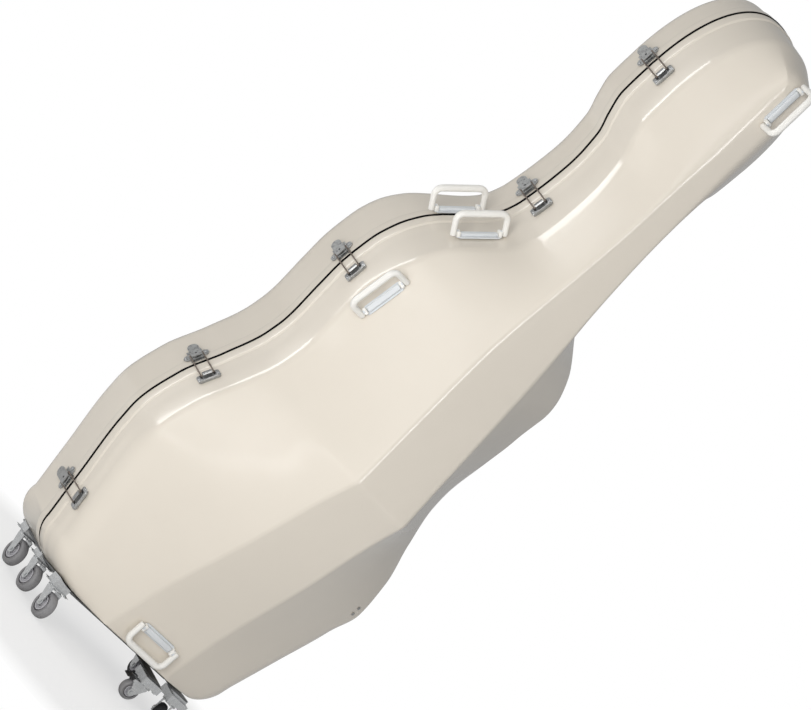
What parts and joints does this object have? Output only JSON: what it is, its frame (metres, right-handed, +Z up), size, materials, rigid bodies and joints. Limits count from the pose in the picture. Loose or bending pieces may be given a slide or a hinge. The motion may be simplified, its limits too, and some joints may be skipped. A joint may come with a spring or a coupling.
{
  "type": "double bass case",
  "caption": "Upright hard case for a double bass: two moulded shells hinged at one side, with draw latches, folding grips, padded lining and swivel castors.",
  "frame": {"origin": "on the floor under the middle of the case, standing upright on its castors", "axes": "+Z up along the case, -Y the way the lid faces, -X the side with the latches, +X the hinge side"},
  "size_m": [0.7662, 0.5158, 2.0385],
  "materials": {
    "shell": "gloss gelcoat",
    "seal": "matt black rubber",
    "plush": "short pile plush",
    "steel": "dull zinc plate",
    "wire": "dark bronze plated wire",
    "grip": "warm white plastic",
    "strip": "pale blue-grey plastic",
    "fork": "bright zinc",
    "hub": "pale grey nylon",
    "tyre_grey": "purple-grey rubber",
    "tyre_black": "black rubber",
    "black": "black plastic",
    "wood": "plywood"
  },
  "bodies": {
    "back": {"back_shell": "shell", "rim_seal": "seal", "back_lining": "plush", "base_plate": "steel", "castor_plates": "steel", "neck_cradle": "plush", "neck_strap": "black", "endpin_block": "wood", "bout_pads": "plush", "latch_plates": "steel", "back_hinge_leaves": "steel", "hinge_pins": "fork", "shoulder_strip_back": "strip"},
    "lid": {"lid_shell": "shell", "lid_lining": "plush", "bridge_pad": "plush", "lid_bracket": "steel", "latch_catches": "steel", "lid_hinge_leaves": "steel", "shoulder_strip_lid": "strip", "side_strip": "strip", "head_strip": "strip", "foot_strip": "strip"},
    "lever_1": {"latch_lever_1": "steel"},
    "bail_1": {"latch_bail_1": "wire"},
    "lever_2": {"latch_lever_2": "steel"},
    "bail_2": {"latch_bail_2": "wire"},
    "lever_3": {"latch_lever_3": "steel"},
    "bail_3": {"latch_bail_3": "wire"},
    "lever_4": {"latch_lever_4": "steel"},
    "bail_4": {"latch_bail_4": "wire"},
    "lever_5": {"latch_lever_5": "steel"},
    "bail_5": {"latch_bail_5": "wire"},
    "shoulder_grip_back_body": {"shoulder_grip_back": "grip"},
    "shoulder_grip_lid_body": {"shoulder_grip_lid": "grip"},
    "side_grip_body": {"side_grip": "grip"},
    "head_grip_body": {"head_grip": "grip"},
    "foot_grip_body": {"foot_grip": "grip"},
    "castor_1": {"castor_fork_1": "fork"},
    "wheel_1": {"castor_hub_1": "hub", "castor_tyre_1": "tyre_grey"},
    "castor_2": {"castor_fork_2": "fork"},
    "wheel_2": {"castor_hub_2": "hub", "castor_tyre_2": "tyre_grey"},
    "castor_3": {"castor_fork_3": "fork"},
    "wheel_3": {"castor_hub_3": "hub", "castor_tyre_3": "tyre_grey"},
    "castor_4": {"castor_fork_4": "fork"},
    "wheel_4": {"castor_hub_4": "hub", "castor_tyre_4": "tyre_grey"},
    "castor_5": {"castor_fork_5": "fork"},
    "wheel_5": {"castor_hub_5": "hub", "castor_tyre_5": "tyre_black"},
    "castor_6": {"castor_fork_6": "fork"},
    "wheel_6": {"castor_hub_6": "hub", "castor_tyre_6": "tyre_black"},
    "brake": {"brake_pedal": "black"}
  },
  "joints": [
    {"name": "lid_hinge", "type": "hinge", "parent": "back", "child": "lid", "pos_m": [0.37475, 0.10092, 0.51], "axis": [-0.1449, 0, 0.9895], "range_deg": [0, 110]},
    {"name": "lever_1_turn", "type": "hinge", "parent": "back", "child": "lever_1", "pos_m": [-0.33909, 0.11292, 0.24179], "axis": [-0.2379, 0, 0.9713], "range_deg": [0, 115]},
    {"name": "bail_1_turn", "type": "hinge", "parent": "lever_1", "child": "bail_1", "pos_m": [-0.34104, 0.12492, 0.24131], "axis": [-0.2379, 0, 0.9713], "range_deg": [-133, 0]},
    {"name": "lever_2_turn", "type": "hinge", "parent": "back", "child": "lever_2", "pos_m": [-0.35385, 0.11292, 0.63252], "axis": [0.4177, 0, 0.9086], "range_deg": [0, 115]},
    {"name": "bail_2_turn", "type": "hinge", "parent": "lever_2", "child": "bail_2", "pos_m": [-0.35567, 0.12492, 0.63335], "axis": [0.4177, 0, 0.9086], "range_deg": [-133, 0]},
    {"name": "lever_3_turn", "type": "hinge", "parent": "back", "child": "lever_3", "pos_m": [-0.30876, 0.11292, 1.01318], "axis": [0.0189, 0, 0.9998], "range_deg": [0, 115]},
    {"name": "bail_3_turn", "type": "hinge", "parent": "lever_3", "child": "bail_3", "pos_m": [-0.31076, 0.12492, 1.01322], "axis": [0.0189, 0, 0.9998], "range_deg": [-133, 0]},
    {"name": "lever_4_turn", "type": "hinge", "parent": "back", "child": "lever_4", "pos_m": [-0.11515, 0.11292, 1.39861], "axis": [0.1075, 0, 0.9942], "range_deg": [0, 115]},
    {"name": "bail_4_turn", "type": "hinge", "parent": "lever_4", "child": "bail_4", "pos_m": [-0.11714, 0.12492, 1.39883], "axis": [0.1075, 0, 0.9942], "range_deg": [-133, 0]},
    {"name": "lever_5_turn", "type": "hinge", "parent": "back", "child": "lever_5", "pos_m": [-0.16336, 0.11292, 1.782], "axis": [0, 0, 1], "range_deg": [0, 115]},
    {"name": "bail_5_turn", "type": "hinge", "parent": "lever_5", "child": "bail_5", "pos_m": [-0.16536, 0.12492, 1.782], "axis": [0, 0, 1], "range_deg": [-133, 0]},
    {"name": "shoulder_grip_back_turn", "type": "hinge", "parent": "back", "child": "shoulder_grip_back_body", "pos_m": [-0.20199, 0.11492, 1.25977], "axis": [0.7536, 0, 0.6573], "range_deg": [-80, 80]},
    {"name": "shoulder_grip_lid_turn", "type": "hinge", "parent": "lid", "child": "shoulder_grip_lid_body", "pos_m": [-0.18788, 0.00692, 1.26421], "axis": [0.7521, 0, 0.6591], "range_deg": [-80, 80]},
    {"name": "side_grip_turn", "type": "hinge", "parent": "lid", "child": "side_grip_body", "pos_m": [-0.26796, -0.05698, 1.02555], "axis": [0.0399, -0.0893, 0.9952], "range_deg": [-40, 110]},
    {"name": "head_grip_turn", "type": "hinge", "parent": "lid", "child": "head_grip_body", "pos_m": [-0.00863, -0.13544, 1.93069], "axis": [0, 0.0726, 0.9974], "range_deg": [-80, 80]},
    {"name": "foot_grip_turn", "type": "hinge", "parent": "lid", "child": "foot_grip_body", "pos_m": [-0.00863, -0.09348, 0.15832], "axis": [1, 0, 0], "range_deg": [-160, 0]},
    {"name": "castor_1_swivel", "type": "hinge", "parent": "back", "child": "castor_1", "pos_m": [-0.23363, 0.21492, 0.07], "axis": [0, 0, 1], "continuous": true},
    {"name": "wheel_1_roll", "type": "hinge", "parent": "castor_1", "child": "wheel_1", "pos_m": [-0.23363, 0.19492, 0.0325], "axis": [1, 0, 0], "continuous": true},
    {"name": "castor_2_swivel", "type": "hinge", "parent": "back", "child": "castor_2", "pos_m": [-0.23063, 0.10892, 0.07], "axis": [0, 0, 1], "continuous": true},
    {"name": "wheel_2_roll", "type": "hinge", "parent": "castor_2", "child": "wheel_2", "pos_m": [-0.23063, 0.08892, 0.0325], "axis": [1, 0, 0], "continuous": true},
    {"name": "castor_3_swivel", "type": "hinge", "parent": "back", "child": "castor_3", "pos_m": [-0.22363, 0.00292, 0.07], "axis": [0, 0, 1], "continuous": true},
    {"name": "wheel_3_roll", "type": "hinge", "parent": "castor_3", "child": "wheel_3", "pos_m": [-0.22363, -0.01708, 0.0325], "axis": [1, 0, 0], "continuous": true},
    {"name": "castor_4_swivel", "type": "hinge", "parent": "back", "child": "castor_4", "pos_m": [0.09437, -0.03708, 0.053], "axis": [0, 0, 1], "continuous": true},
    {"name": "wheel_4_roll", "type": "hinge", "parent": "castor_4", "child": "wheel_4", "pos_m": [0.07837, -0.03708, 0.024], "axis": [0, -1, 0], "continuous": true},
    {"name": "brake_press", "type": "hinge", "parent": "castor_4", "child": "brake", "pos_m": [0.06237, -0.03708, 0.049], "axis": [0, -1, 0], "range_deg": [0, 4], "stiffness_Nm_per_rad": 2},
    {"name": "castor_5_swivel", "type": "hinge", "parent": "back", "child": "castor_5", "pos_m": [0.20637, 0.00492, 0.053], "axis": [0, 0, 1], "continuous": true},
    {"name": "wheel_5_roll", "type": "hinge", "parent": "castor_5", "child": "wheel_5", "pos_m": [0.19608, -0.00734, 0.024], "axis": [0.766, -0.6428, 0], "continuous": true},
    {"name": "castor_6_swivel", "type": "hinge", "parent": "back", "child": "castor_6", "pos_m": [0.21637, 0.21492, 0.053], "axis": [0, 0, 1], "continuous": true},
    {"name": "wheel_6_roll", "type": "hinge", "parent": "castor_6", "child": "wheel_6", "pos_m": [0.21637, 0.19892, 0.024], "axis": [1, 0, 0], "continuous": true}
  ],
  "couplings": [
    {"joint": "bail_1_turn", "follows": "lever_1_turn", "ratio": -1.15},
    {"joint": "bail_2_turn", "follows": "lever_2_turn", "ratio": -1.15},
    {"joint": "bail_3_turn", "follows": "lever_3_turn", "ratio": -1.15},
    {"joint": "bail_4_turn", "follows": "lever_4_turn", "ratio": -1.15},
    {"joint": "bail_5_turn", "follows": "lever_5_turn", "ratio": -1.15}
  ]
}
